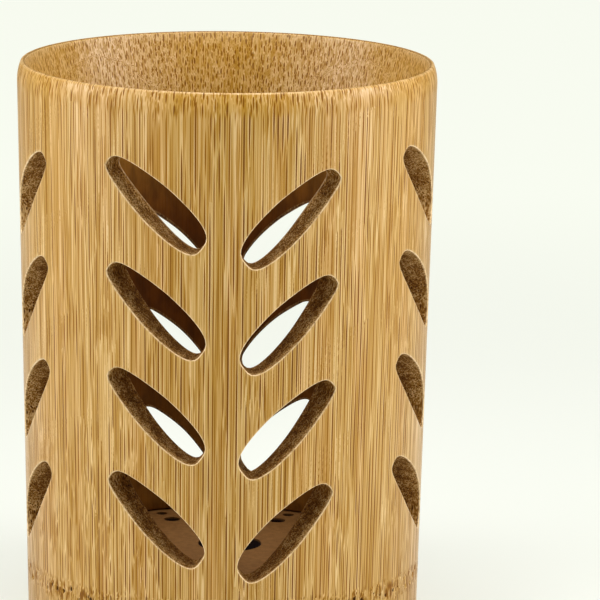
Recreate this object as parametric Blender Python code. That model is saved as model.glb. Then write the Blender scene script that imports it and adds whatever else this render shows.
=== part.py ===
"""Bamboo toothbrush cup: a turned culm wall with leaf slots, and a drilled floor disc let in from below.

Metres, +Z up. The origin is the centre of the foot, on the surface that the cup stands on.
The middle of the first group of leaf slots faces -Y.
"""

import math

import bmesh
import bpy

MM = 0.001

# Culm wall: a natural bamboo stem, turned outside and bored inside, a little narrower at the foot.
CUP_HEIGHT = 112.0 * MM
RIM_RADIUS = 42.0 * MM
FOOT_RADIUS = 39.6 * MM
WALL = 6.8 * MM
LIP_INSET = 0.7 * MM
LIP_ROUND_HEIGHT = 2.7 * MM
LIP_WIDTH = 0.45 * MM
FLARE_DEPTH = 25.0 * MM
FLARE_BLEND = 3.0 * MM
EDGE_BREAK = 0.5 * MM

# Floor disc: let into a rebate from below, and glued up against the rebate's shoulder.
FLOOR_TOP = 11.5 * MM
FLOOR_THICKNESS = 5.0 * MM
SEAT_WIDTH = 2.4 * MM
GLUE_GAP = 0.3 * MM
FLOOR_EDGE_BREAK = 0.4 * MM

# Drain holes in the floor: a large one near the middle, and two rings of small ones near the wall.
MIDDLE_HOLE_RADIUS = 6.5 * MM
MIDDLE_HOLE_RIGHT = 1.3 * MM
MIDDLE_HOLE_BACK = 4.0 * MM
INNER_HOLE_RADIUS = 1.7 * MM
OUTER_HOLE_RADIUS = 1.2 * MM
OUTER_RING_MARGIN = 2.4 * MM
RING_SPACING = 5.3 * MM
HOLES_PER_RING = 7

# Leaf slots: groups of two mirrored columns, whose leaves rise away from the middle of the group.
GROUPS = 4
ROWS = 4
LEAF_LENGTH = 25.3 * MM
LEAF_UPPER_BULGE = 4.9 * MM
LEAF_LOWER_BULGE = 3.2 * MM
LEAF_END_POWER = 1.25
LEAF_SIDE_POWER = 0.59
UPPER_TAPER_SHARE = 0.06
LOWER_TAPER_SHARE = 0.32
LEAF_TILT = {"left": math.radians(38.4), "right": math.radians(41.2)}
LEAF_SIDESTEP = 14.2 * MM
TOP_LEAF_DROP = 22.5 * MM
COLUMN_STAGGER = 2.4 * MM
LAST_LEAF_RISE = 13.0 * MM

# How finely round shapes are divided.
ROUND_SEGMENTS = 80
LEAF_POINTS = 24
LIP_STEPS = 4
BLEND_STEPS = 3
MIDDLE_HOLE_SEGMENTS = 40
SMALL_HOLE_SEGMENTS = 16
SHARP_ANGLE = math.radians(35.0)

# How far a cutter runs past what it cuts, and how near two points count as one.
OVERRUN = 2.0 * MM
MERGE_DISTANCE = 0.01 * MM

CULM_BAMBOO = {"color": (0.52, 0.32, 0.12, 1.0), "roughness": 0.55, "metallic": 0.0}
FLOOR_BAMBOO = {"color": (0.24, 0.13, 0.06, 1.0), "roughness": 0.65, "metallic": 0.0}


def outer_radius(z):
    """The wall's outer radius at height z: a straight taper from the rim down to the foot."""
    return FOOT_RADIUS + (RIM_RADIUS - FOOT_RADIUS) * z / CUP_HEIGHT


def bore_radius(z):
    """The bore's radius below the flare: one wall thickness inside the outer face."""
    return outer_radius(z) - WALL


def floor_radius():
    """The floor disc reaches past the bore by the width of its seat."""
    return bore_radius(FLOOR_TOP) + SEAT_WIDTH


def lip_arc():
    """Points of the round from the outer face up to the crest: an arc that leaves the face upright."""
    arc_radius = (LIP_INSET**2 + LIP_ROUND_HEIGHT**2) / (2.0 * LIP_INSET)
    sweep = math.asin(LIP_ROUND_HEIGHT / arc_radius)
    start = CUP_HEIGHT - LIP_ROUND_HEIGHT
    points = []
    for step in range(LIP_STEPS + 1):
        angle = sweep * step / LIP_STEPS
        inset = arc_radius * (1.0 - math.cos(angle))
        points.append((outer_radius(start) - inset, start + arc_radius * math.sin(angle)))
    return points


def flare_blend(crest_radius):
    """Points of the curve that joins the flared mouth to the bore, as a quadratic about their corner."""
    corner_z = CUP_HEIGHT - FLARE_DEPTH
    corner_r = bore_radius(corner_z)
    above = (corner_r + (crest_radius - corner_r) * FLARE_BLEND / FLARE_DEPTH, corner_z + FLARE_BLEND)
    below = (bore_radius(corner_z - FLARE_BLEND), corner_z - FLARE_BLEND)
    points = []
    for step in range(BLEND_STEPS + 1):
        t = step / BLEND_STEPS
        radius = (1.0 - t) ** 2 * above[0] + 2.0 * t * (1.0 - t) * corner_r + t**2 * below[0]
        z = (1.0 - t) ** 2 * above[1] + 2.0 * t * (1.0 - t) * corner_z + t**2 * below[1]
        points.append((radius, z))
    return points


def wall_profile():
    """The wall's closed outline in radius and height: down the outside, under the foot, up the inside."""
    outside = list(reversed(lip_arc()))
    crest_radius = outside[0][0] - LIP_WIDTH
    rebate_radius = floor_radius() + GLUE_GAP
    shoulder_z = FLOOR_TOP + GLUE_GAP
    foot = [
        (outer_radius(EDGE_BREAK), EDGE_BREAK),
        (outer_radius(0.0) - EDGE_BREAK, 0.0),
        (rebate_radius + EDGE_BREAK, 0.0),
        (rebate_radius, EDGE_BREAK),
    ]
    inside = [(rebate_radius, shoulder_z), (bore_radius(shoulder_z), shoulder_z)]
    return outside + foot + inside + list(reversed(flare_blend(crest_radius))) + [(crest_radius, CUP_HEIGHT)]


def make_material(name, finish):
    """A plain material of one colour."""
    material = bpy.data.materials.new(name)
    material.use_nodes = True
    shader = material.node_tree.nodes["Principled BSDF"]
    shader.inputs["Base Color"].default_value = finish["color"]
    shader.inputs["Roughness"].default_value = finish["roughness"]
    shader.inputs["Metallic"].default_value = finish["metallic"]
    material.diffuse_color = finish["color"]
    return material


def make_object(name, mesh):
    """Links a mesh into the scene under a name."""
    piece = bpy.data.objects.new(name, mesh)
    bpy.context.scene.collection.objects.link(piece)
    return piece


def make_cutter(name, bm):
    """An object that only cuts others."""
    mesh = bpy.data.meshes.new(name)
    bm.to_mesh(mesh)
    bm.free()
    cutter = make_object(name, mesh)
    cutter.hide_render = True
    cutter.display_type = "WIRE"
    return cutter


def cut_and_finish(piece, cutter, material):
    """Cuts a piece for good, shades its round faces smooth, and gives it its material."""
    cut = piece.modifiers.new("cut", "BOOLEAN")
    cut.operation = "DIFFERENCE"
    cut.solver = "EXACT"
    cut.object = cutter
    depsgraph = bpy.context.evaluated_depsgraph_get()
    mesh = bpy.data.meshes.new_from_object(piece.evaluated_get(depsgraph), depsgraph=depsgraph)
    piece.modifiers.clear()
    piece.data = mesh
    mesh.name = piece.name
    mesh.shade_smooth()
    mesh.set_sharp_from_angle(angle=SHARP_ANGLE)
    mesh.materials.clear()
    mesh.materials.append(material)


def leaf_outline(side):
    """One leaf flattened out, as (along, up) offsets from its centre, as on the right of its group.

    Lengthways a point runs as cos(t) to a power, and across as sin(t) to a power, so that the ends are
    round and the sides full. Each side narrows towards the leaf's upper end, the lower side more.
    """
    tilt = LEAF_TILT[side]
    points = []
    for index in range(LEAF_POINTS):
        t = 2.0 * math.pi * (index + 0.5) / LEAF_POINTS
        run = math.copysign(abs(math.cos(t)) ** LEAF_END_POWER, math.cos(t))
        rise = math.copysign(abs(math.sin(t)) ** LEAF_SIDE_POWER, math.sin(t))
        if rise > 0.0:
            bulge = LEAF_UPPER_BULGE * (1.0 + UPPER_TAPER_SHARE * run)
        else:
            bulge = LEAF_LOWER_BULGE * (1.0 + LOWER_TAPER_SHARE * run)
        down = 0.5 * LEAF_LENGTH * run
        across = bulge * rise
        along = -down * math.cos(tilt) - across * math.sin(tilt)
        up = -down * math.sin(tilt) + across * math.cos(tilt)
        points.append((along, up))
    return points


def leaf_prism(bm, side, group, centre_z):
    """Adds one leaf-shaped cutter, whose sides run straight out from the cup's axis."""
    turn = -1.0 if side == "left" else 1.0
    middle = 2.0 * math.pi * group / GROUPS + turn * LEAF_SIDESTEP / RIM_RADIUS
    outline = leaf_outline(side)
    rings = []
    caps = []
    for radius in (min(RIM_RADIUS, FOOT_RADIUS) - WALL - OVERRUN, max(RIM_RADIUS, FOOT_RADIUS) + OVERRUN):
        ring = []
        for along, up in outline:
            azimuth = middle + turn * along / RIM_RADIUS
            ring.append(bm.verts.new((radius * math.sin(azimuth), -radius * math.cos(azimuth), centre_z + up)))
        rings.append(ring)
        caps.append(bm.verts.new((radius * math.sin(middle), -radius * math.cos(middle), centre_z)))
    faces = []
    for index in range(LEAF_POINTS):
        after = (index + 1) % LEAF_POINTS
        faces.append(bm.faces.new((rings[0][index], rings[0][after], rings[1][after], rings[1][index])))
        for ring, cap in zip(rings, caps):
            faces.append(bm.faces.new((ring[index], ring[after], cap)))
    bmesh.ops.recalc_face_normals(bm, faces=faces)


def leaf_heights(side):
    """Heights of the leaf centres in one column, from the top. The left column sits higher by the stagger."""
    top = CUP_HEIGHT - TOP_LEAF_DROP - COLUMN_STAGGER
    bottom = FLOOR_TOP + LAST_LEAF_RISE
    pitch = (top - bottom) / (ROWS - 1)
    lift = COLUMN_STAGGER if side == "left" else 0.0
    return [top - pitch * row + lift for row in range(ROWS)]


def leaf_cutter():
    """All the leaf slots of the wall in one cutter."""
    bm = bmesh.new()
    for group in range(GROUPS):
        for side in ("left", "right"):
            for centre_z in leaf_heights(side):
                leaf_prism(bm, side, group, centre_z)
    return make_cutter("leaf_slots", bm)


def make_culm_wall():
    """The culm wall: its profile turned about the cup's axis, then cut by the leaf slots."""
    bm = bmesh.new()
    ring = [bm.verts.new((radius, 0.0, z)) for radius, z in wall_profile()]
    edges = [bm.edges.new((ring[index], ring[(index + 1) % len(ring)])) for index in range(len(ring))]
    bmesh.ops.spin(
        bm,
        geom=ring + edges,
        cent=(0.0, 0.0, 0.0),
        axis=(0.0, 0.0, 1.0),
        angle=2.0 * math.pi,
        steps=ROUND_SEGMENTS,
        use_merge=True,
    )
    bmesh.ops.remove_doubles(bm, verts=bm.verts[:], dist=MERGE_DISTANCE)
    bmesh.ops.recalc_face_normals(bm, faces=bm.faces[:])
    mesh = bpy.data.meshes.new("culm_wall")
    bm.to_mesh(mesh)
    bm.free()
    wall = make_object("culm_wall", mesh)
    cut_and_finish(wall, leaf_cutter(), make_material("culm_bamboo", CULM_BAMBOO))


def add_upright_disc(bm, x, y, radius, height, segments):
    """Adds a closed upright disc or drill, centred on the middle of the floor's thickness."""
    made = bmesh.ops.create_cone(
        bm, cap_ends=True, segments=segments, radius1=radius, radius2=radius, depth=height
    )
    bmesh.ops.translate(bm, verts=made["verts"], vec=(x, y, FLOOR_TOP - 0.5 * FLOOR_THICKNESS))


def drain_cutter():
    """All the drain holes in one cutter. The holes of the two rings stand on shared spokes."""
    bm = bmesh.new()
    depth = FLOOR_THICKNESS + 2.0 * OVERRUN
    add_upright_disc(bm, MIDDLE_HOLE_RIGHT, MIDDLE_HOLE_BACK, MIDDLE_HOLE_RADIUS, depth, MIDDLE_HOLE_SEGMENTS)
    outer_ring = bore_radius(FLOOR_TOP) - OUTER_RING_MARGIN
    rings = ((outer_ring, OUTER_HOLE_RADIUS), (outer_ring - RING_SPACING, INNER_HOLE_RADIUS))
    for ring_radius, hole_radius in rings:
        for index in range(HOLES_PER_RING):
            azimuth = 2.0 * math.pi * (index + 0.5) / HOLES_PER_RING
            x = ring_radius * math.sin(azimuth)
            y = ring_radius * math.cos(azimuth)
            add_upright_disc(bm, x, y, hole_radius, depth, SMALL_HOLE_SEGMENTS)
    return make_cutter("drain_holes", bm)


def make_drain_floor():
    """The floor disc with its broken edges and its drain holes."""
    bm = bmesh.new()
    add_upright_disc(bm, 0.0, 0.0, floor_radius(), FLOOR_THICKNESS, ROUND_SEGMENTS)
    level_edges = [edge for edge in bm.edges if abs(edge.verts[0].co.z - edge.verts[1].co.z) < MERGE_DISTANCE]
    bmesh.ops.bevel(bm, geom=level_edges, offset=FLOOR_EDGE_BREAK, segments=1, affect="EDGES")
    mesh = bpy.data.meshes.new("drain_floor")
    bm.to_mesh(mesh)
    bm.free()
    floor = make_object("drain_floor", mesh)
    cut_and_finish(floor, drain_cutter(), make_material("floor_bamboo", FLOOR_BAMBOO))


def main():
    """Clears the scene and builds the two pieces."""
    for leftover in list(bpy.data.objects):
        bpy.data.objects.remove(leftover, do_unlink=True)
    make_culm_wall()
    make_drain_floor()


main()
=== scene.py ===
"""Looks of the bamboo toothbrush cup: its turned and slotted culm wall, and its drilled floor.

Lengths are in metres, and the materials' own measures in millimetres. The cup stands on z = 0 with its
axis on z, and the first group of leaf slots faces -Y.
"""

import math

import bmesh
import bpy
import numpy as np
from mathutils import Matrix, Vector


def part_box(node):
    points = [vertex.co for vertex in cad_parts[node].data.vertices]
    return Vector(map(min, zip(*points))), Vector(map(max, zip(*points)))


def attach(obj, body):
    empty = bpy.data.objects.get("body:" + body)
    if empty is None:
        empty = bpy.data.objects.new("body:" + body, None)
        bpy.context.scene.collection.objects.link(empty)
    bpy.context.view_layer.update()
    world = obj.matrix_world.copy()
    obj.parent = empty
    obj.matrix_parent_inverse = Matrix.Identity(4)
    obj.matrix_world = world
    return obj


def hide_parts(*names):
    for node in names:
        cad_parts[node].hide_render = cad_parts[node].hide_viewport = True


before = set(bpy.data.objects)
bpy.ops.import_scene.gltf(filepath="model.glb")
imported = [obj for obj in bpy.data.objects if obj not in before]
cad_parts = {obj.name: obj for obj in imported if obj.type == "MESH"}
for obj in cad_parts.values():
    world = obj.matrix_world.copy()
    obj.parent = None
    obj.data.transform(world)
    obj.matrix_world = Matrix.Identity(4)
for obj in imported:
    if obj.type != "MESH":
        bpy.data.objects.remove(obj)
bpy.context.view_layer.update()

MM = 0.001
FULL_TURN = 2.0 * math.pi

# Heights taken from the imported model.
CUP_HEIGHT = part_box("culm_wall")[1].z
FLOOR_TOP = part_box("drain_floor")[1].z
FLOOR_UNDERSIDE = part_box("drain_floor")[0].z

# Culm wall.
RIM_RADIUS = 42.0 * MM
FOOT_RADIUS = 39.6 * MM
TAPER = (RIM_RADIUS - FOOT_RADIUS) / CUP_HEIGHT
WALL = 6.8 * MM
LIP_ROUND_HEIGHT = 3.8 * MM
LIP_ROUND_RADIUS = 10.0 * MM
LIP_EDGE_RADIUS = 0.55 * MM
LEAN_HEIGHT = 7.0 * MM
LEAN_SLOPE = 0.15
FLARE_ANGLE = math.radians(13.4)
FLARE_DEPTH = 25.0 * MM
FLARE_BLEND = 3.0 * MM
SEAT_WIDTH = 2.4 * MM
GLUE_GAP = 0.3 * MM

# Broken edges at the foot and the shoulder. Their middle point lies this share of the break from
# the corner.
EDGE_BREAK = 0.5 * MM
SHOULDER_BREAK = 0.15 * MM
BREAK_BEND = 0.3

# Leaf slots.
GROUPS = 4
SECTOR = math.pi / GROUPS
ROWS = 4
LEAF_LENGTH = 25.3 * MM
LEAF_UPPER_BULGE = 4.9 * MM
LEAF_LOWER_BULGE = 3.2 * MM
LEAF_END_POWER = 1.25
LEAF_SIDE_POWER = 0.59
UPPER_TAPER_SHARE = 0.06
LOWER_TAPER_SHARE = 0.32
LEAF_TILT = {"left": math.radians(38.4), "right": math.radians(41.2)}
LEAF_SIDESTEP = 14.2 * MM
TOP_LEAF_DROP = 22.5 * MM
COLUMN_STAGGER = 2.4 * MM
LAST_LEAF_RISE = 13.0 * MM
OUTER_EDGE_ROUND = 0.22 * MM
INNER_EDGE_ROUND = 0.2 * MM

# Root scars round the outside, a little above the foot.
SCAR_BAND = (5.2 * MM, 11.8 * MM)
SCAR_COUNT = 110
SCAR_SEED = 11
SCAR_JITTER = 0.45
SCAR_SPREAD = 1.1 * MM
SCAR_MIDDLE = 9.0 * MM
SCAR_SIZE = (0.20 * MM, 0.50 * MM)
SCAR_DEPTH = (0.25 * MM, 0.6 * MM)
SCAR_HEIGHT_WEIGHT = 0.8

# The fibres curl and darken round the scars, less and less between these distances in millimetres.
SCAR_RING_FADE = (3.0, 0.75)

# How finely the wall is divided. A cell is one leaf slot with the wall around it.
CELL_STEPS_ROUND = 24
CELL_STEPS_UP = 12
CELL_POINTS = 2 * (CELL_STEPS_ROUND + CELL_STEPS_UP)
CELL_ROWS_OUTSIDE = 5
CELL_ROWS_INSIDE = 5
LEAF_TRACE_POINTS = 1440
LEAF_START_SHARE = 0.08
EDGE_SUPPORT = 0.4 * MM
COLUMNS = 2 * GROUPS * CELL_STEPS_ROUND
LIP_WIDE_ARC_POINTS = 7
LIP_SMALL_ARC_POINTS = 9
MOUTH_ROWS_OUTSIDE = 14
MOUTH_ROWS_INSIDE = 8
FOOT_ROWS_INSIDE = 5
SCAR_ROWS = 23
SCAR_COLUMNS_PER_COLUMN = 4
WELD = 0.001 * MM
SHARP_ANGLE = math.radians(50.0)

# Borders between the rows of leaves: how low they may go, and how soon they level out, in radians.
ROW_LINE_FLOOR = 13.0 * MM
ROW_LINE_REACH = 0.3

# Pale wear and painted highlight round a slot. The rounded outer edge has rows at an angle, with their
# slot_face and their share of pale wear and painted highlight. The sawn face has rows at a share of its
# depth. Its inner end gets a painted highlight, where light from the mouth catches it, in the top row
# only, and the inner edge a faint one.
BRIM_WEAR_AND_HIGHLIGHT = 0.1
OUTER_EDGE_ROWS = ((30.0, 0.0, 1.0), (60.0, 0.0, 1.0), (90.0, 1.0, 0.5))
SAWN_FACE_ROWS = (0.035, 0.3, 0.6, 0.90, 1.0)
SAWN_FACE_BORE = 0.5
TOP_ROW_INNER_HIGHLIGHT = 0.50
INNER_EDGE_ROWS = (45.0, 90.0)
INNER_EDGE_HIGHLIGHT = 0.10

# Painted light on the rows over the lip: a painted highlight on both its shoulders, with a line of
# painted shade along the crest between them.
LIP_HIGHLIGHT = {7: 0.20, 8: 0.20, 9: 0.20, 13: 0.28, 14: 0.16}
LIP_SHADE = {10: 0.40, 11: 0.50, 12: 0.50}
LIP_CREST_ROW = 11

# Bamboo's colours. The first three are ramps, from the darkest tone to the palest.
WALL_COLOURS = (
    (0.00, (0.15, 0.048, 0.000)),
    (0.30, (0.23, 0.085, 0.000)),
    (0.62, (0.418, 0.209, 0.012)),
    (0.82, (0.56, 0.328, 0.078)),
    (1.0, (0.71, 0.480, 0.195)),
)
SAWN_COLOURS = (
    (0.0, (0.070, 0.020, 0.003)),
    (0.5, (0.272, 0.118, 0.016)),
    (1.0, (0.68, 0.45, 0.19)),
)
FLOOR_COLOURS = (
    (0.0, (0.095, 0.036, 0.007)),
    (0.5, (0.20, 0.086, 0.017)),
    (1.0, (0.30, 0.138, 0.036)),
)
BORE_PALE = (0.265, 0.112, 0.014)
# The bore's darkest colour: its stain with painted shade.
BORE_SHADED_STAIN = (0.125, 0.034, 0.0012)
# Colour of pale wear and painted highlights on the slots' edges and the lip.
WEAR_AND_HIGHLIGHT_COLOUR = (0.86, 0.64, 0.36)
# Colour of the root scars' stain, also used for the painted shade along the lip's crest.
STAIN_AND_SHADE_COLOUR = (0.060, 0.018, 0.003)
# Painted shade on the sides of the floor disc and its holes.
FLOOR_SIDE_SHADE = (0.016, 0.004, 0.004)
HUE_TINT = (1.02, 0.985, 1.04)
# Paler end grain on fresh cuts, with painted light on the flare and a painted highlight on the crest.
FRESH_CUT_AND_LIGHT_TINT = (1.16, 1.17, 1.45)

# A bundle's dark core and pale halo fade out between these distances, in half widths of the bundle.
CORE_FADE = (1.15, 0.60)
HALO_FADE = (2.1, 1.5)

# Stage: one pale tone, brighter where it is seen than where it lights the cup. The floor glows more
# the farther it lies from the cup, over a span in millimetres.
STAGE_REACH = 6.0
STAGE_COLOUR = (0.80, 0.81, 0.76, 1.0)
STAGE_GLOW = (0.97, 1.0, 0.90, 1.0)
STAGE_FADE = (60.0, 500.0)
STAGE_GLOW_SHARE = (0.50, 0.95)
WORLD_COLOUR = (0.97, 1.0, 0.91, 1.0)
WORLD_LIGHT = 0.14
WORLD_SEEN_EXTRA = 0.81
SEEN_IN_GLOSS = 0.25

# Lamps on both sides: name, degrees round from the front, distance from the axis, height, width and
# height of the panel, power on the left and on the right, and the height on the axis that it faces.
SIDE_LAMPS = (
    ("side_softbox", 65.0, 0.28, 0.215, (0.30, 0.36), (0.60, 0.54), 0.215),
    ("high_softbox", 60.0, 0.45, 0.50, (0.40, 0.40), (0.61, 0.61), 0.06),
    ("mouth_softbox", 85.0, 0.40, 0.24, (0.20, 0.14), (0.31, 0.47), 0.10),
)
TOP_LAMP_HEIGHT = 0.8
TOP_LAMP_SIZE = (0.5, 0.5)
TOP_LAMP_POWER = 4.07
TOP_LAMP_AIM = 0.06


def outer_radius(z):
    """Outer radius: a straight taper from the rim to the foot."""
    return FOOT_RADIUS + TAPER * z


def lip_profile():
    """Outline over the lip, as radius and height. A wide arc leaves the outer face upright, and a small
    arc with the same tangent carries it over the crest until it points down the flare."""
    start = CUP_HEIGHT - LIP_ROUND_HEIGHT
    wide, small = LIP_ROUND_RADIUS, LIP_EDGE_RADIUS
    switch = math.asin((LIP_ROUND_HEIGHT - small) / (wide - small))
    turn = np.linspace(0.0, switch, LIP_WIDE_ARC_POINTS)
    radius = outer_radius(start) - wide * (1.0 - np.cos(turn))
    z = start + wide * np.sin(turn)
    over = np.linspace(switch, math.pi - FLARE_ANGLE, LIP_SMALL_ARC_POINTS)[1:]
    radius = np.append(radius, radius[-1] + small * (np.cos(over) - math.cos(switch)))
    z = np.append(z, z[-1] + small * (np.sin(over) - math.sin(switch)))
    return radius, z


def bore_line(z):
    """Radius of the straight bore: one wall thickness inside the outer face."""
    return outer_radius(z) - WALL


LIP_RADII, LIP_HEIGHTS = lip_profile()


def inner_radius(z):
    """Inner radius: the bore and the flare are straight lines, joined by a parabola at their corner."""
    z = np.asarray(z, float)
    corner = CUP_HEIGHT - FLARE_DEPTH
    flare_slope = (LIP_RADII[-1] - bore_line(corner)) / (LIP_HEIGHTS[-1] - corner)
    past = np.clip(z - corner + FLARE_BLEND, 0.0, 2.0 * FLARE_BLEND)
    curve = past**2 / (4.0 * FLARE_BLEND) + np.maximum(z - corner - FLARE_BLEND, 0.0)
    return bore_line(z) + (flare_slope - TAPER) * curve


def resampled(loop, count, start=0.0):
    """A closed loop walked again in even steps, from a share of its length onwards."""
    closed = np.vstack([loop, loop[:1]])
    walked = np.append(0.0, np.cumsum(np.linalg.norm(np.diff(closed, axis=0), axis=1)))
    stops = (start + np.arange(count) / count) % 1.0 * walked[-1]
    return np.column_stack([np.interp(stops, walked, closed[:, axis]) for axis in (0, 1)])


def grown(loop, distance):
    """A closed counterclockwise loop pushed outwards along its normals."""
    along = np.roll(loop, -1, axis=0) - np.roll(loop, 1, axis=0)
    normal = np.column_stack([along[:, 1], -along[:, 0]])
    return loop + distance * normal / np.linalg.norm(normal, axis=1, keepdims=True)


def leaf_loop(side):
    """Outline of one leaf slot, counterclockwise, as offsets along the rim and up, right-hand column.

    Lengthways a point runs as cos(t) to a power, and across as sin(t) to a power. Each side narrows
    towards the upper end. It starts at the lower left, as the border of its cell does."""
    t = np.linspace(0.0, FULL_TURN, LEAF_TRACE_POINTS, endpoint=False)
    run = np.sign(np.cos(t)) * np.abs(np.cos(t)) ** LEAF_END_POWER
    rise = np.sign(np.sin(t)) * np.abs(np.sin(t)) ** LEAF_SIDE_POWER
    upper = LEAF_UPPER_BULGE * (1.0 + UPPER_TAPER_SHARE * run)
    lower = LEAF_LOWER_BULGE * (1.0 + LOWER_TAPER_SHARE * run)
    down = 0.5 * LEAF_LENGTH * run
    across = np.where(rise > 0.0, upper, lower) * rise
    tilt = LEAF_TILT[side]
    along = -down * math.cos(tilt) - across * math.sin(tilt)
    up = -down * math.sin(tilt) + across * math.cos(tilt)
    loop = np.column_stack([along, up])[::-1]
    return resampled(loop, CELL_POINTS, start=LEAF_START_SHARE)


def leaf_heights():
    """Mean height of the two leaves in each row, and the rows' pitch."""
    top = CUP_HEIGHT - TOP_LEAF_DROP - COLUMN_STAGGER
    bottom = FLOOR_TOP + LAST_LEAF_RISE
    pitch = (top - bottom) / (ROWS - 1)
    return top - pitch * np.arange(ROWS) + 0.5 * COLUMN_STAGGER, pitch


ROW_HEIGHTS, ROW_PITCH = leaf_heights()


def row_line(number, away):
    """Height of the border above a row of leaves, at an angle away from the group's middle. It follows
    the leaves' tilt near them and levels out beside them, as a tanh does."""
    lean = RIM_RADIUS * math.tan(0.5 * (LEAF_TILT["left"] + LEAF_TILT["right"]))
    centre = LEAF_SIDESTEP / RIM_RADIUS
    level = ROW_HEIGHTS[0] + (0.5 - number) * ROW_PITCH
    line = level + lean * ROW_LINE_REACH * np.tanh((away - centre) / ROW_LINE_REACH)
    return np.maximum(line, ROW_LINE_FLOOR)


def away_from_group(azimuth):
    """Angle between an azimuth and the middle of the nearest group of leaves."""
    return np.abs((azimuth + SECTOR) % (2.0 * SECTOR) - SECTOR)


def cell_border(row):
    """Border of a cell, counterclockwise from its lower left, as the angle away from the group's middle
    and the height."""
    across = np.linspace(0.0, SECTOR, CELL_STEPS_ROUND + 1)
    up = np.arange(CELL_STEPS_UP) / CELL_STEPS_UP
    low, high = row_line(row + 1, across), row_line(row, across)
    bottom = np.column_stack([across[:-1], low[:-1]])
    right = np.column_stack([np.full(CELL_STEPS_UP, SECTOR), low[-1] + (high[-1] - low[-1]) * up])
    top = np.column_stack([across[:0:-1], high[:0:-1]])
    left = np.column_stack([np.zeros(CELL_STEPS_UP), high[0] + (low[0] - high[0]) * up])
    return np.vstack([bottom, right, top, left])


class Skin:
    """Grids of points that are welded into one closed mesh. Each point carries marks for its finish:
    slot_face where it was sawn, bore_depth as bore_mark gives it, a mark for pale wear and painted
    highlights, a mark for the root scars' stain and the painted shade along the lip's crest, grain_slip
    for the fibres' shift in depth in millimetres, and fresh_cut where a face cuts across the fibres."""

    MARKS = ("slot_face", "bore_depth", "worn_edge", "dark_stain", "grain_slip", "fresh_cut")

    def __init__(self):
        self.points, self.marks, self.quads, self.triangles, self.total = [], [], [], [], 0

    def add_points(self, points, **marks):
        """Adds points of any grid shape, and returns their indices in that shape."""
        shape = points.shape[:-1]
        self.points.append(points.reshape(-1, 3))
        columns = [np.broadcast_to(marks.get(mark, 0.0), shape).ravel() for mark in self.MARKS]
        self.marks.append(np.column_stack(columns))
        index = self.total + np.arange(math.prod(shape)).reshape(shape)
        self.total += index.size
        return index

    def add_sheet(self, index, flip=False):
        """Faces between the rows of a grid whose columns close on themselves. Up the rows and on along
        the columns, the faces look towards someone who sees the columns run to the right."""
        here, after = index[:-1], np.roll(index, -1, axis=1)[:-1]
        above, above_after = index[1:], np.roll(index, -1, axis=1)[1:]
        corners = np.stack([here, after, above_after, above], axis=-1).reshape(-1, 4)
        self.quads.append(corners[:, ::-1] if flip else corners)

    def add_fan(self, coarse, fine, flip=False):
        """Triangles from a coarse closed row up to a row with several points for each coarse one."""
        parts = len(fine) // len(coarse)
        spans = np.column_stack([fine.reshape(-1, parts), np.roll(fine[::parts], -1)])
        after = np.roll(coarse, -1)
        middle = parts // 2
        fans = [np.column_stack([coarse, after, spans[:, middle]])]
        for part in range(parts):
            tip = coarse if part < middle else after
            fans.append(np.column_stack([tip, spans[:, part + 1], spans[:, part]]))
        corners = np.vstack(fans)
        self.triangles.append(corners[:, ::-1] if flip else corners)

    def make(self, name):
        """Welds the grids into a mesh object, shaded smooth but for its sharp corners."""
        points, marks = np.vstack(self.points), np.vstack(self.marks)
        faces = [face for patch in self.quads + self.triangles for face in patch.tolist()]
        mesh = bpy.data.meshes.new(name)
        mesh.from_pydata(points, [], faces)
        for number, mark in enumerate(self.MARKS):
            layer = mesh.attributes.new(mark, "FLOAT", "POINT")
            layer.data.foreach_set("value", marks[:, number].astype(np.float32))
        solid = bmesh.new()
        solid.from_mesh(mesh)
        bmesh.ops.remove_doubles(solid, verts=solid.verts[:], dist=WELD)
        solid.to_mesh(mesh)
        solid.free()
        mesh.shade_smooth()
        mesh.set_sharp_from_angle(angle=SHARP_ANGLE)
        piece = bpy.data.objects.new(name, mesh)
        bpy.context.scene.collection.objects.link(piece)
        return piece


def turned(azimuth, radius, z):
    """Points at azimuths from -Y towards +X, radii and heights."""
    azimuth, radius, z = np.broadcast_arrays(azimuth, radius, z)
    return np.stack([radius * np.sin(azimuth), -radius * np.cos(azimuth), z], axis=-1)


def bore_mark(z):
    """0 at the top of the flare, rising to 1 down in the bore."""
    return np.clip((CUP_HEIGHT - z) / FLARE_DEPTH, 0.0, 1.0)


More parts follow.
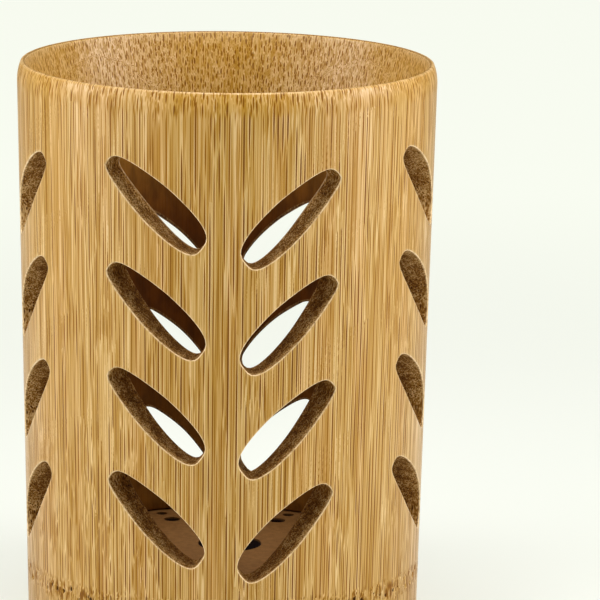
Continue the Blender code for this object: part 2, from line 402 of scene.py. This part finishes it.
def add_leaf_cell(skin, side, group, row):
    """One leaf slot with the wall around it, as one sheet of closed rows.

    It runs from the cell's border over the outer face to the slot, round the outer edge, pale with wear
    and a painted highlight, through the wall's thickness, round the inner edge and over the inner face
    back to the border."""
    turn = -1.0 if side == "left" else 1.0
    centre = np.array([LEAF_SIDESTEP / RIM_RADIUS, ROW_HEIGHTS[row] - 0.5 * COLUMN_STAGGER * turn])
    to_angle = np.array([1.0 / RIM_RADIUS, 1.0])
    leaf = leaf_loop(side)
    border = cell_border(row)
    rows, radii, marks = [], [], []

    def on_wall(loop):
        return centre + loop * to_angle

    def add_row(loop, radius, **row_marks):
        rows.append(loop)
        radii.append(radius)
        marks.append(row_marks)

    brim = on_wall(grown(leaf, OUTER_EDGE_ROUND))
    support = on_wall(grown(leaf, OUTER_EDGE_ROUND + EDGE_SUPPORT))
    for share in np.linspace(0.0, 1.0, CELL_ROWS_OUTSIDE + 1)[:-1]:
        loop = border + (support - border) * share
        add_row(loop, outer_radius(loop[:, 1]))
    add_row(support, outer_radius(support[:, 1]))
    # From the brim on, the outer edge is painted pale, as wear and a painted highlight.
    add_row(brim, outer_radius(brim[:, 1]), worn_edge=BRIM_WEAR_AND_HIGHLIGHT)
    for degrees, sawn, glint_and_wear in OUTER_EDGE_ROWS:
        angle = math.radians(degrees)
        loop = on_wall(grown(leaf, OUTER_EDGE_ROUND * (1.0 - math.sin(angle))))
        depth = OUTER_EDGE_ROUND * (1.0 - math.cos(angle))
        add_row(loop, outer_radius(loop[:, 1]) - depth, slot_face=sawn, worn_edge=glint_and_wear)
    slot_loop = on_wall(leaf)
    outside = outer_radius(slot_loop[:, 1]) - OUTER_EDGE_ROUND
    inside = inner_radius(slot_loop[:, 1]) + INNER_EDGE_ROUND
    for share in SAWN_FACE_ROWS:
        radius = outside + (inside - outside) * share
        # Painted highlight on the top row's inner end, where light from the mouth catches it.
        glint_and_wear = TOP_ROW_INNER_HIGHLIGHT if row == 0 and share == 1.0 else 0.0
        add_row(slot_loop, radius, slot_face=1.0, bore_depth=SAWN_FACE_BORE * share, worn_edge=glint_and_wear)
    # The inner edge carries a faint painted highlight.
    for degrees in INNER_EDGE_ROWS:
        angle = math.radians(degrees)
        loop = on_wall(grown(leaf, INNER_EDGE_ROUND * (1.0 - math.cos(angle))))
        radius = inner_radius(loop[:, 1]) + INNER_EDGE_ROUND * (1.0 - math.sin(angle))
        add_row(loop, radius, slot_face=1.0, bore_depth=SAWN_FACE_BORE, worn_edge=INNER_EDGE_HIGHLIGHT)
    inner_support = on_wall(grown(leaf, INNER_EDGE_ROUND + EDGE_SUPPORT))
    for share in np.linspace(0.0, 1.0, CELL_ROWS_INSIDE):
        loop = inner_support + (border - inner_support) * share
        depth = bore_mark(loop[:, 1])
        add_row(loop, inner_radius(loop[:, 1]), bore_depth=depth, fresh_cut=1.0 - depth)

    loops = np.stack(rows)
    azimuth = FULL_TURN * group / GROUPS + turn * loops[..., 0]
    grids = {
        name: np.stack([np.broadcast_to(given.get(name, 0.0), CELL_POINTS) for given in marks])
        for name in Skin.MARKS
    }
    index = skin.add_points(turned(azimuth, np.stack(radii), loops[..., 1]), **grids)
    skin.add_sheet(index, flip=turn < 0.0)


def add_mouth(skin):
    """Belt above the leaves: up the outer face, over the lip and down the flare.

    Near the rim the fibres lean outwards, as the cube of the height they have risen, so the outer face
    cuts them ever shorter. From the lip's crest inwards the lean stays the same."""
    azimuth = np.arange(COLUMNS) * FULL_TURN / COLUMNS
    line = row_line(0, away_from_group(azimuth))
    shares_up = np.linspace(0.0, 1.0, MOUTH_ROWS_OUTSIDE + 1)[:-1]
    shares_down = np.linspace(0.0, 1.0, MOUTH_ROWS_INSIDE + 1)[1:]
    outside = [line + (LIP_HEIGHTS[0] - line) * share for share in shares_up]
    inside = [LIP_HEIGHTS[-1] + (line - LIP_HEIGHTS[-1]) * share for share in shares_down]
    z = np.stack(outside + [np.full(COLUMNS, height) for height in LIP_HEIGHTS] + inside)
    radius = np.stack(
        [outer_radius(row) for row in outside]
        + [np.full(COLUMNS, lip) for lip in LIP_RADII]
        + [inner_radius(row) for row in inside]
    )
    lip = len(outside)
    crest = lip + LIP_CREST_ROW
    flare = slice(lip + len(LIP_RADII), None)
    bore = np.zeros(z.shape)
    bore[flare] = bore_mark(z[flare])
    lean_start = CUP_HEIGHT - LEAN_HEIGHT
    risen = np.clip((z - lean_start) / LEAN_HEIGHT, 0.0, 1.0)
    lean = LEAN_SLOPE * LEAN_HEIGHT * risen**3 / 3.0
    slip = outer_radius(z) - radius - lean
    slip[crest:] = slip[crest]
    # Rising towards the crest, this also pales the rim as a painted highlight.
    fresh = risen**2
    fresh[flare] = np.maximum(fresh[flare], 1.0 - bore[flare])
    # Painted highlights on the lip's shoulders, and painted shade along its crest.
    worn, stain = np.zeros(z.shape), np.zeros(z.shape)
    for row, glint_and_wear in LIP_HIGHLIGHT.items():
        worn[lip + row] = glint_and_wear
    for row, dark in LIP_SHADE.items():
        stain[lip + row] = dark
    index = skin.add_points(
        turned(azimuth, radius, z),
        bore_depth=bore,
        worn_edge=worn,
        dark_stain=stain,
        grain_slip=slip / MM,
        fresh_cut=fresh,
    )
    skin.add_sheet(index)


def scar_relief(azimuth, z):
    """Depth and mark of the root scars: pits, a little higher than wide, scattered about a ring by a
    seeded draw. A pit's depth falls off from its middle as exp(-d^4)."""
    draw = np.random.default_rng(SCAR_SEED)
    jitter = draw.uniform(-SCAR_JITTER, SCAR_JITTER, SCAR_COUNT)
    where = (np.arange(SCAR_COUNT) + jitter) * FULL_TURN / SCAR_COUNT
    height = SCAR_MIDDLE + SCAR_SPREAD * draw.uniform(-1.0, 1.0, SCAR_COUNT)
    size = draw.uniform(*SCAR_SIZE, SCAR_COUNT)
    depth = draw.uniform(*SCAR_DEPTH, SCAR_COUNT)
    gap = (azimuth[..., None] - where + math.pi) % FULL_TURN - math.pi
    climb = SCAR_HEIGHT_WEIGHT * (z[..., None] - height)
    spread = ((gap * FOOT_RADIUS) ** 2 + climb**2) / size**2
    share = np.exp(-(spread**2))
    return (depth * share).max(axis=-1), share.max(axis=-1)


def add_foot(skin):
    """Belt below the leaves: down the bore, round the rebate and the foot, and over the root scars."""
    azimuth = np.arange(COLUMNS) * FULL_TURN / COLUMNS
    line = row_line(ROWS, away_from_group(azimuth))
    shoulder = FLOOR_TOP + GLUE_GAP
    rebate = bore_line(FLOOR_TOP) + SEAT_WIDTH + GLUE_GAP

    shares = np.linspace(0.0, 1.0, FOOT_ROWS_INSIDE)
    inside = [line + (shoulder + SHOULDER_BREAK - line) * share for share in shares]
    rebate_corners = [
        (bore_line(shoulder) + BREAK_BEND * SHOULDER_BREAK, shoulder + BREAK_BEND * SHOULDER_BREAK),
        (bore_line(shoulder) + SHOULDER_BREAK, shoulder),
        (rebate, shoulder),
        (rebate, 0.5 * shoulder),
        (rebate, EDGE_BREAK),
    ]
    foot_corners = [
        (rebate + BREAK_BEND * EDGE_BREAK, BREAK_BEND * EDGE_BREAK),
        (rebate + EDGE_BREAK, 0.0),
        (outer_radius(0.0) - EDGE_BREAK, 0.0),
        (outer_radius(0.0) - BREAK_BEND * EDGE_BREAK, BREAK_BEND * EDGE_BREAK),
        (outer_radius(EDGE_BREAK), EDGE_BREAK),
        (outer_radius(2.0 * EDGE_BREAK), 2.0 * EDGE_BREAK),
        (outer_radius(SCAR_BAND[0] - EDGE_BREAK), SCAR_BAND[0] - EDGE_BREAK),
    ]
    corners = rebate_corners + foot_corners
    z = np.stack(inside + [np.full(COLUMNS, height) for _, height in corners])
    radius = np.stack(
        [inner_radius(row) for row in inside] + [np.full(COLUMNS, corner) for corner, _ in corners]
    )
    bore = np.zeros(z.shape)
    bore[: len(inside) + len(rebate_corners)] = 1.0
    below = skin.add_points(turned(azimuth, radius, z), bore_depth=bore)
    skin.add_sheet(below)

    fine_count = COLUMNS * SCAR_COLUMNS_PER_COLUMN
    fine_turn = np.tile(np.arange(fine_count) * FULL_TURN / fine_count, (SCAR_ROWS, 1))
    fine_z = np.repeat(np.linspace(*SCAR_BAND, SCAR_ROWS)[:, None], fine_count, axis=1)
    pit, mark = scar_relief(fine_turn, fine_z)
    fine = skin.add_points(turned(fine_turn, outer_radius(fine_z) - pit, fine_z), dark_stain=mark)
    skin.add_sheet(fine)
    skin.add_fan(below[-1], fine[0])

    start = SCAR_BAND[1] + EDGE_BREAK
    above_z = np.stack([start + (line - start) * share for share in (0.0, 0.5, 1.0)])
    above = skin.add_points(turned(azimuth, outer_radius(above_z), above_z))
    skin.add_sheet(above)
    skin.add_fan(above[0], fine[-1], flip=True)


def make_culm():
    """The culm wall."""
    skin = Skin()
    for group in range(GROUPS):
        for row in range(ROWS):
            for side in ("left", "right"):
                add_leaf_cell(skin, side, group, row)
    add_mouth(skin)
    add_foot(skin)
    culm = skin.make("bamboo_culm")
    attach(culm, "root")
    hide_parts("culm_wall")
    return culm


def make_camera():
    """The photograph's viewpoint: a long lens well in front of the cup, a little above its rim."""
    distance, rise = 864.2 * MM, 131.7 * MM
    turn, yaw, pitch, roll = 0.01347, 0.00396, 0.20569, 0.01289
    forward = np.array(
        [math.sin(yaw) * math.cos(pitch), math.cos(yaw) * math.cos(pitch), -math.sin(pitch)]
    )
    level = np.array([math.cos(yaw), -math.sin(yaw), 0.0])
    upward = np.cross(level, forward)
    right = level * math.cos(roll) + upward * math.sin(roll)
    up = -level * math.sin(roll) + upward * math.cos(roll)
    camera = bpy.data.objects.new("camera", bpy.data.cameras.new("camera"))
    bpy.context.scene.collection.objects.link(camera)
    camera.data.sensor_width = 36.0
    camera.data.lens = 262.54
    camera.data.clip_end = 20.0
    axes = Matrix(np.column_stack([right, up, -forward]).tolist()).to_4x4()
    place = (distance * math.sin(turn), -distance * math.cos(turn), CUP_HEIGHT + rise)
    camera.matrix_world = Matrix.Translation(place) @ axes
    bpy.context.scene.camera = camera


class Finish:
    """One procedural material, whose nodes are made by short calls."""

    def __init__(self, name):
        self.material = bpy.data.materials.new(name)
        self.material.use_nodes = True
        self.tree = self.material.node_tree
        self.shader = self.tree.nodes["Principled BSDF"]

    def add(self, kind, sockets, **settings):
        """A node with its settings, and its sockets given a value or linked from another's output."""
        node = self.tree.nodes.new(kind)
        for key, value in settings.items():
            setattr(node, key, value)
        for key, value in sockets.items():
            self.feed(node.inputs[key], value)
        return node

    def feed(self, socket, value):
        """Links an output to a socket, or sets the socket's own value."""
        if isinstance(value, bpy.types.NodeSocket):
            self.tree.links.new(value, socket)
        else:
            socket.default_value = value

    def surface(self, sockets):
        """Feeds the shader's sockets, by their names."""
        for name, value in sockets.items():
            self.feed(self.shader.inputs[name], value)

    def math(self, operation, *values):
        """Arithmetic on numbers and outputs."""
        sockets = dict(enumerate(values))
        return self.add("ShaderNodeMath", sockets, operation=operation).outputs[0]

    def vector(self, operation, *values, output="Vector", **named):
        """Vector arithmetic. A named value goes to the socket of that name, as Scale does."""
        sockets = {**dict(enumerate(values)), **named}
        return self.add("ShaderNodeVectorMath", sockets, operation=operation).outputs[output]

    def position(self):
        """The point on the piece in millimetres."""
        place = self.add("ShaderNodeTexCoord", {}).outputs["Object"]
        return self.vector("MULTIPLY", place, (1.0 / MM, 1.0 / MM, 1.0 / MM))

    def noise(self, place, across, along, detail=2.0, rough=0.5):
        """Noise about 0.5, with grains this many millimetres across the fibres and along them."""
        place = self.vector("MULTIPLY", place, (1.0 / across, 1.0 / across, 1.0 / along))
        sockets = {"Vector": place, "Scale": 1.0, "Detail": detail, "Roughness": rough}
        return self.add("ShaderNodeTexNoise", sockets).outputs["Fac"]

    def remap(self, value, span, onto=(0.0, 1.0), smooth=True):
        """A value carried from one span onto another, and held at its ends."""
        ends = ("From Min", "From Max", "To Min", "To Max")
        sockets = {"Value": value, **dict(zip(ends, (*span, *onto)))}
        kind = "SMOOTHSTEP" if smooth else "LINEAR"
        return self.add("ShaderNodeMapRange", sockets, interpolation_type=kind).outputs["Result"]

    def ramp(self, value, stops):
        """A colour read from stops of position and colour."""
        node = self.add("ShaderNodeValToRGB", {"Fac": value})
        while len(node.color_ramp.elements) < len(stops):
            node.color_ramp.elements.new(1.0)
        for element, (position, colour) in zip(node.color_ramp.elements, stops):
            element.position = position
            element.color = (*colour, 1.0)
        return node.outputs["Color"]

    def mix(self, share, first, second, blend="MIX"):
        """The first colour with a share of the second, mixed in or multiplied."""
        node = self.add("ShaderNodeMix", {"Factor": share}, data_type="RGBA", blend_type=blend)
        for socket, value in zip([s for s in node.inputs if s.type == "RGBA"], (first, second)):
            self.feed(socket, value if isinstance(value, bpy.types.NodeSocket) else (*value, 1.0))
        return [s for s in node.outputs if s.type == "RGBA"][0]

    def mark(self, name):
        """A mark that the mesh carries at its points."""
        return self.add("ShaderNodeAttribute", {}, attribute_name=name).outputs["Fac"]

    def parts(self, place):
        """The three coordinates of a point."""
        return self.add("ShaderNodeSeparateXYZ", {"Vector": place}).outputs[:]

    def bump(self, height, strength, distance):
        """Small relief that the mesh doesn't carry."""
        sockets = {"Height": height, "Strength": strength, "Distance": distance}
        self.surface({"Normal": self.add("ShaderNodeBump", sockets).outputs["Normal"]})


def threads(finish, cut, pitch, core, halo, tones, scatter=0.85):
    """Bundles scattered at a pitch round the stem and in depth, each with its own tone. A bundle is
    oval, with half its width and depth given, and has a paler halo, which counts below zero."""
    grid = finish.vector("DIVIDE", cut, (*pitch, 1.0))
    sockets = {"Vector": grid, "Scale": 1.0, "Randomness": scatter}
    cells = finish.add("ShaderNodeTexVoronoi", sockets, voronoi_dimensions="2D")
    middle = finish.vector("MULTIPLY", cells.outputs["Position"], (*pitch, 1.0))
    gap = finish.vector("DIVIDE", finish.vector("SUBTRACT", cut, middle), (*core, 1.0))
    x, y, _ = finish.parts(gap)
    distance = finish.math("SQRT", finish.math("MULTIPLY_ADD", x, x, finish.math("MULTIPLY", y, y)))
    dark = finish.remap(distance, CORE_FADE, (0.0, 1.0 + halo))
    pale = finish.remap(distance, HALO_FADE, (0.0, -halo))
    own = finish.add("ShaderNodeSeparateColor", {"Color": cells.outputs["Color"]}).outputs["Red"]
    own_tone = finish.remap(own, (0.0, 1.0), tones)
    return finish.math("MULTIPLY", finish.math("ADD", dark, pale), own_tone)


def stem_place(finish, place):
    """The point in the stem's own terms, in millimetres: the way round, the depth and the height. The
    fibres follow the stem's taper, so the outer face has one depth."""
    x, y, z = finish.parts(place)
    azimuth = finish.math("ARCTAN2", x, finish.math("MULTIPLY", y, -1.0))
    squares = finish.math("ADD", finish.math("MULTIPLY", x, x), finish.math("MULTIPLY", y, y))
    face = finish.math("MULTIPLY_ADD", z, TAPER, FOOT_RADIUS / MM)
    depth = finish.math("SUBTRACT", finish.math("SQRT", squares), face)
    depth = finish.math("ADD", depth, finish.mark("grain_slip"))
    return finish.math("MULTIPLY", azimuth, FOOT_RADIUS / MM), depth, z


def scar_ring(finish, height):
    """1 at the root scars' height, falling to 0 above and below them."""
    gap = finish.math("ABSOLUTE", finish.math("SUBTRACT", height, SCAR_MIDDLE / MM))
    return finish.remap(gap, SCAR_RING_FADE)


def drift(finish, place):
    """How far the fibres stray in depth: slowly all over, more on the side that grew unevenly low down,
    and in short curls around the root scars."""
    x, _, height = finish.parts(place)
    slow = finish.noise(place, across=6.0, along=45.0, detail=1.0)
    quick = finish.noise(place, across=2.5, along=14.0, detail=1.0)
    curl = finish.noise(place, across=1.6, along=3.0, detail=1.0)
    uneven_side = finish.remap(x, (4.0, -24.0), (0.1, 1.2))
    uneven = finish.math("MULTIPLY", uneven_side, finish.remap(height, (60.0, 25.0)))
    curled = finish.math("MULTIPLY", scar_ring(finish, height), 1.8)
    stray = finish.math("MULTIPLY", finish.math("SUBTRACT", slow, 0.5), 1.5)
    for noise, reach in ((quick, uneven), (curl, curled)):
        stray = finish.math("MULTIPLY_ADD", finish.math("SUBTRACT", noise, 0.5), reach, stray)
    return stray


def grain(finish):
    """Bamboo's solid pattern. Fibre bundles run up the stem as dark threads, each with its own tone, in
    paler pith. The turned face cuts them at a slant, so a thread comes and goes, and a freshly cut face
    shows their ends. Returns the tone, the place in the stem and the place on the piece."""
    place = finish.position()
    around, depth, height = stem_place(finish, place)
    depth = finish.math("ADD", depth, drift(finish, place))
    cut = finish.add("ShaderNodeCombineXYZ", {"X": around, "Y": depth, "Z": height}).outputs["Vector"]
    fresh = finish.mark("fresh_cut")
    coarse = threads(
        finish, cut, pitch=(0.88, 0.25), core=(0.17, 0.11), halo=0.42, tones=(0.35, 1.0), scatter=0.3
    )
    ends = threads(finish, cut, pitch=(1.10, 0.33), core=(0.18, 0.13), halo=0.15, tones=(0.42, 0.58))
    fine = threads(finish, cut, pitch=(0.50, 0.14), core=(0.12, 0.06), halo=0.35, tones=(0.1, 1.0))

    # The threads fade in patches, and all bundles fade towards the two sides, ±X, as painted sheen from
    # the side lamps.
    patches = finish.noise(cut, across=1.6, along=20.0, detail=1.0)
    fade = finish.remap(patches, (0.30, 0.60), (0.55, 1.0))
    side = finish.math("ABSOLUTE", finish.parts(place)[0])
    side_sheen_fade = finish.remap(side, (6.0, 30.0), (1.0, 0.75))
    fade = finish.math("MULTIPLY", fade, side_sheen_fade)
    ends = finish.math("MULTIPLY", ends, side_sheen_fade)
    coarse = finish.math("MULTIPLY", finish.math("MULTIPLY", coarse, fade), 0.80)
    bundle = finish.remap(fresh, (0.04, 0.30), (coarse, ends))

    # Tone: single fibres and slow bands in the pith, less the bundles.
    fibre = finish.noise(cut, across=0.37, along=30.0, detail=0.0)
    fibre = finish.remap(fibre, (0.34, 0.66), (-0.5, 0.5))
    band = finish.noise(cut, across=2.0, along=80.0, detail=1.0)
    sway = finish.remap(fresh, (0.0, 1.0), (0.26, 0.12), smooth=False)
    tone = finish.math("MULTIPLY_ADD", fibre, 0.20, 0.68)
    tone = finish.math("MULTIPLY_ADD", finish.math("SUBTRACT", band, 0.5), sway, tone)
    tone = finish.math("MULTIPLY_ADD", bundle, -0.90, tone)
    tone = finish.math("MULTIPLY_ADD", fine, -0.25, tone)
    return tone, cut, place


def sawn_wood(finish, cut):
    """Colour of the faces that the saw left: dark dots of bundles in golden brown, darker towards the
    bore, and a little darker below the top row of slots."""
    dots = threads(finish, cut, pitch=(0.50, 0.60), core=(0.13, 0.17), halo=0.55, tones=(0.4, 1.0))
    mottle = finish.noise(cut, across=0.5, along=0.9, rough=0.6)
    tone = finish.math("MULTIPLY_ADD", dots, -0.52, finish.remap(mottle, (0.30, 0.70), (0.32, 0.88)))
    scorch = finish.noise(cut, across=3.0, along=3.0, detail=1.0)
    tone = finish.math("ADD", tone, finish.remap(scorch, (0.35, 0.65), (-0.14, 0.10)))
    tone = finish.math("MULTIPLY_ADD", finish.mark("bore_depth"), -0.45, tone)
    height = finish.parts(cut)[2]
    tone = finish.math("ADD", tone, finish.remap(height, (70.0, 82.0), (-0.05, 0.0)))
    return finish.ramp(tone, SAWN_COLOURS)


def bored_wood(finish, place):
    """Colour of the bore: its own dark stain deepened by painted shade, less so near the mouth and near
    the floor.
    """
    height = finish.parts(place)[2]
    from_mouth, from_floor = finish.remap(height, (92.0, 70.0)), finish.remap(height, (8.0, 55.0))
    stain_and_shade = finish.mix(finish.math("MULTIPLY", from_mouth, from_floor), BORE_PALE, BORE_SHADED_STAIN)
    mottle = finish.noise(place, across=2.0, along=5.0, detail=3.0)
    return finish.vector("SCALE", stain_and_shade, Scale=finish.remap(mottle, (0.3, 0.7), (0.75, 1.25)))


def add_bamboo(culm):
    """Varnished, caramel-toned bamboo. It is darker and bare where it is sawn or bored, and the bore's
    darkness is partly painted shade.
    """
    finish = Finish("turned_bamboo")
    tone, cut, place = grain(finish)
    fresh = finish.mark("fresh_cut")
    sawn = finish.mark("slot_face")
    bored = finish.remap(finish.mark("bore_depth"), (0.45, 0.95))
    stain_and_shade = finish.remap(finish.mark("dark_stain"), (0.2, 0.8))

    # Turned faces, with dark flames round the root scars and a slow drift of hue.
    flame = finish.noise(place, across=0.7, along=2.6, detail=1.0)
    flame = finish.remap(flame, (0.48, 0.68), (0.0, -0.44))
    tone = finish.math("MULTIPLY_ADD", scar_ring(finish, finish.parts(place)[2]), flame, tone)
    colour = finish.ramp(tone, WALL_COLOURS)
    hue = finish.remap(finish.noise(place, across=3.4, along=90.0, detail=1.0), (0.40, 0.65))
    hue = finish.math("MULTIPLY", hue, finish.remap(fresh, (0.0, 1.0), (1.0, 0.3)))
    colour = finish.mix(hue, colour, HUE_TINT, blend="MULTIPLY")

    # Bore with its painted shade, fresh cuts paler with painted light, sawn faces, pale wear and
    # painted highlights on the edges that the fibres break up, and the root scars' stain with painted
    # shade along the lip's crest.
    colour = finish.mix(bored, colour, bored_wood(finish, place))
    # Fresh cuts paler: end grain, and painted light on the flare and the crest.
    colour = finish.mix(fresh, colour, FRESH_CUT_AND_LIGHT_TINT, blend="MULTIPLY")
    colour = finish.mix(sawn, colour, sawn_wood(finish, cut))
    frayed = finish.noise(cut, across=0.55, along=1.1, detail=1.0)
    frayed = finish.remap(frayed, (0.36, 0.60), (0.42, 1.05))
    # Pale wear and painted highlights on the edges, broken up by the fibres.
    worn = finish.math("MULTIPLY", finish.mark("worn_edge"), frayed)
    colour = finish.mix(worn, colour, WEAR_AND_HIGHLIGHT_COLOUR)
    # Root scars' stain, and painted shade along the lip's crest.
    colour = finish.mix(stain_and_shade, colour, STAIN_AND_SHADE_COLOUR)

    # Varnish lies on the pale, turned wood. Bare faces are matt.
    bare = finish.math("MAXIMUM", sawn, stain_and_shade)
    bare = finish.math("MAXIMUM", bare, finish.math("MULTIPLY", bored, 0.9))
    varnish = finish.remap(tone, (0.38, 0.76), (0.08, 1.0))
    varnish = finish.math("MULTIPLY", varnish, finish.math("SUBTRACT", 1.0, bare))
    rough = finish.remap(tone, (0.2, 0.9), (0.62, 0.46))
    rough = finish.math("MULTIPLY_ADD", finish.math("SUBTRACT", 0.95, rough), bare, rough)
    finish.surface({"Base Color": colour, "Roughness": rough, "Specular IOR Level": 0.18})
    finish.surface({"Coat Weight": varnish, "Coat Roughness": 0.35})
    finish.bump(tone, strength=0.35, distance=0.12 * MM)
    culm.data.materials.append(finish.material)


def add_floor_finish():
    """Planed end grain of the same bamboo: darker, more matt, with the bundles as dots. The sides of
    the disc and of its holes, away from the two planed faces, are painted near black as shade."""
    finish = Finish("planed_bamboo")
    place = finish.position()
    dots = threads(finish, place, pitch=(0.75, 0.75), core=(0.17, 0.17), halo=0.35, tones=(0.2, 1.0))
    mottle = finish.noise(place, across=1.4, along=1.4, detail=4.0, rough=0.6)
    tone = finish.math("MULTIPLY_ADD", dots, -0.22, finish.remap(mottle, (0.30, 0.70), (0.46, 0.78)))
    height = finish.parts(place)[2]
    top, underside = FLOOR_TOP / MM, FLOOR_UNDERSIDE / MM
    below_top = finish.remap(height, (top - 0.1, top - 0.6))
    above_underside = finish.remap(height, (underside + 0.1, underside + 0.6))
    between = finish.math("MULTIPLY", below_top, above_underside)
    colour = finish.mix(between, finish.ramp(tone, FLOOR_COLOURS), FLOOR_SIDE_SHADE)
    finish.surface({"Base Color": colour, "Roughness": 0.65, "Specular IOR Level": 0.3})
    finish.bump(tone, strength=0.2, distance=0.1 * MM)
    for slot in bpy.data.objects["drain_floor"].material_slots:
        slot.material = finish.material


def make_light(name, place, size, power, aim):
    """A large soft lamp that faces a height on the cup's axis."""
    lamp = bpy.data.lights.new(name, "AREA")
    lamp.shape = "RECTANGLE"
    lamp.size, lamp.size_y = size
    lamp.energy = power
    light = bpy.data.objects.new(name, lamp)
    bpy.context.scene.collection.objects.link(light)
    light.location = place
    away = light.location - Vector((0.0, 0.0, aim))
    light.rotation_euler = away.to_track_quat("Z", "Y").to_euler()
    light.visible_camera = False


def seen_directly(tree):
    """1 where a surface is seen by the camera or through glass, a share of that where it is seen in
    gloss, and 0 where it lights the object."""
    path = tree.nodes.new("ShaderNodeLightPath")
    value = path.outputs["Is Camera Ray"]
    for other, weight in (("Is Glossy Ray", SEEN_IN_GLOSS), ("Is Transmission Ray", 1.0)):
        either = tree.nodes.new("ShaderNodeMath")
        either.operation = "MULTIPLY_ADD"
        tree.links.new(path.outputs[other], either.inputs[0])
        either.inputs[1].default_value = weight
        tree.links.new(value, either.inputs[2])
        value = either.outputs[0]
    return value


def make_stage():
    """A plain pale floor that melts into a pale world, so that no edge shows."""
    mesh = bpy.data.meshes.new("floor")
    corners = [(x * STAGE_REACH, y * STAGE_REACH, 0.0) for x, y in ((-1, -1), (1, -1), (1, 1), (-1, 1))]
    mesh.from_pydata(corners, [], [(0, 1, 2, 3)])
    floor = bpy.data.objects.new("floor", mesh)
    bpy.context.scene.collection.objects.link(floor)
    finish = Finish("pale_floor")
    finish.surface({"Base Color": STAGE_COLOUR, "Roughness": 0.9})
    away = finish.vector("LENGTH", finish.position(), output="Value")
    share = finish.remap(away, STAGE_FADE, STAGE_GLOW_SHARE)
    share = finish.math("MULTIPLY", share, seen_directly(finish.tree))
    glow = finish.add("ShaderNodeEmission", {"Color": STAGE_GLOW, "Strength": 1.0})
    sockets = {0: share, 1: finish.shader.outputs[0], 2: glow.outputs[0]}
    both = finish.add("ShaderNodeMixShader", sockets)
    finish.feed(finish.tree.nodes["Material Output"].inputs["Surface"], both.outputs[0])
    mesh.materials.append(finish.material)

    world = bpy.data.worlds.new("studio")
    bpy.context.scene.world = world
    world.use_nodes = True
    tree = world.node_tree
    background = tree.nodes["Background"]
    background.inputs["Color"].default_value = WORLD_COLOUR
    strength = tree.nodes.new("ShaderNodeMath")
    strength.operation = "MULTIPLY_ADD"
    tree.links.new(seen_directly(tree), strength.inputs[0])
    strength.inputs[1].default_value = WORLD_SEEN_EXTRA
    strength.inputs[2].default_value = WORLD_LIGHT
    tree.links.new(strength.outputs[0], background.inputs["Strength"])


def make_lights():
    """Three soft lamps on each side and one above. The low pair gives the varnish its sheen, the high
    pair and the top one light the whole cup, and the small pair lights the mouth and the sides."""
    for side in (-1.0, 1.0):
        for name, degrees, distance, height, size, powers, aim in SIDE_LAMPS:
            turn = math.radians(degrees) * side
            place = (distance * math.sin(turn), -distance * math.cos(turn), height)
            make_light(name, place, size, powers[side > 0.0], aim)
    make_light("top_softbox", (0.0, 0.0, TOP_LAMP_HEIGHT), TOP_LAMP_SIZE, TOP_LAMP_POWER, TOP_LAMP_AIM)


add_bamboo(make_culm())
add_floor_finish()
make_camera()
make_stage()
make_lights()
bpy.context.scene.view_settings.view_transform = "Standard"
